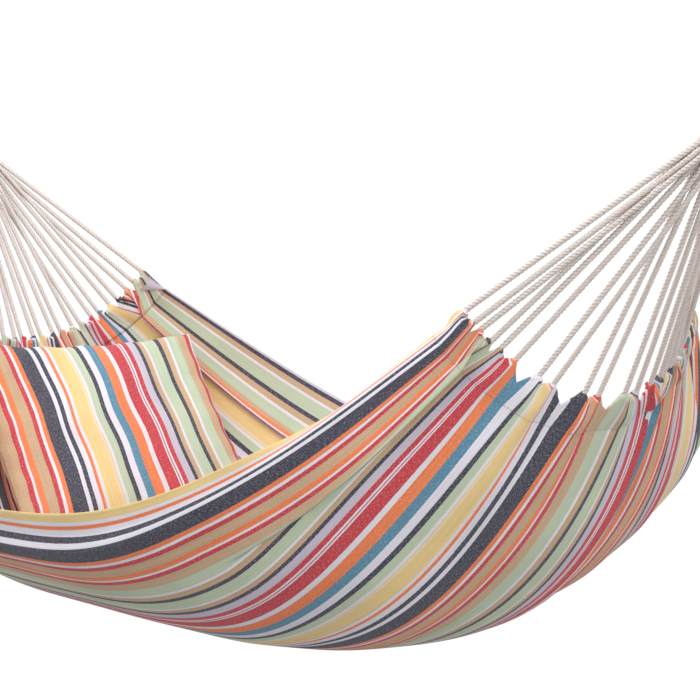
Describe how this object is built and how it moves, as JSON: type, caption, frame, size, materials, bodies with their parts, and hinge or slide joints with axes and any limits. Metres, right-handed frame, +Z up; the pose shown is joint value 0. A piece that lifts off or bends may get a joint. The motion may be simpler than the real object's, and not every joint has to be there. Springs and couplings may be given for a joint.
{
  "type": "cloth hammock",
  "caption": "Striped cotton cloth hammock with looped cord ends, rope eyes and steel hanging rings, and a loose square pillow in matching cloth.",
  "frame": {"origin": "centre of the head end's hanging ring", "axes": "+X from the head ring to the foot ring, +Y to the far side edge, +Z up as the hammock hangs"},
  "size_m": [2.3266, 1.3336, 1.0351],
  "materials": {
    "striped_cotton": "woven cotton, matt, in lengthwise stripes",
    "cotton_cord": "twisted undyed cotton, matt",
    "fibre_filling": "loose white fibre, matt",
    "steel": "bright drawn wire, satin"
  },
  "bodies": {
    "rings": {"ring_head": "steel", "ring_foot": "steel"},
    "hammock": {"bed_cloth": "striped_cotton", "cord_head_01": "cotton_cord", "cord_head_02": "cotton_cord", "cord_head_03": "cotton_cord", "cord_head_04": "cotton_cord", "cord_head_05": "cotton_cord", "cord_head_06": "cotton_cord", "cord_head_07": "cotton_cord", "cord_head_08": "cotton_cord", "cord_head_09": "cotton_cord", "cord_head_10": "cotton_cord", "cord_head_11": "cotton_cord", "cord_head_12": "cotton_cord", "cord_head_13": "cotton_cord", "cord_foot_01": "cotton_cord", "cord_foot_02": "cotton_cord", "cord_foot_03": "cotton_cord", "cord_foot_04": "cotton_cord", "cord_foot_05": "cotton_cord", "cord_foot_06": "cotton_cord", "cord_foot_07": "cotton_cord", "cord_foot_08": "cotton_cord", "cord_foot_09": "cotton_cord", "cord_foot_10": "cotton_cord", "cord_foot_11": "cotton_cord", "cord_foot_12": "cotton_cord", "cord_foot_13": "cotton_cord", "whipping_head": "cotton_cord", "whipping_foot": "cotton_cord", "eye_head": "cotton_cord", "eye_foot": "cotton_cord"},
    "pillow": {"pillow_front": "striped_cotton", "pillow_back": "striped_cotton", "pillow_filling": "fibre_filling"}
  },
  "joints": [
    {"name": "swing", "type": "hinge", "parent": "rings", "child": "hammock", "pos_m": [0.0144, 0, -0.0192], "axis": [1, 0, 0], "range_deg": [-40, 40]},
    {"name": "pillow_lift", "type": "slide", "parent": "hammock", "child": "pillow", "axis": [0, 0, 1], "range_m": [0, 0.3]}
  ]
}
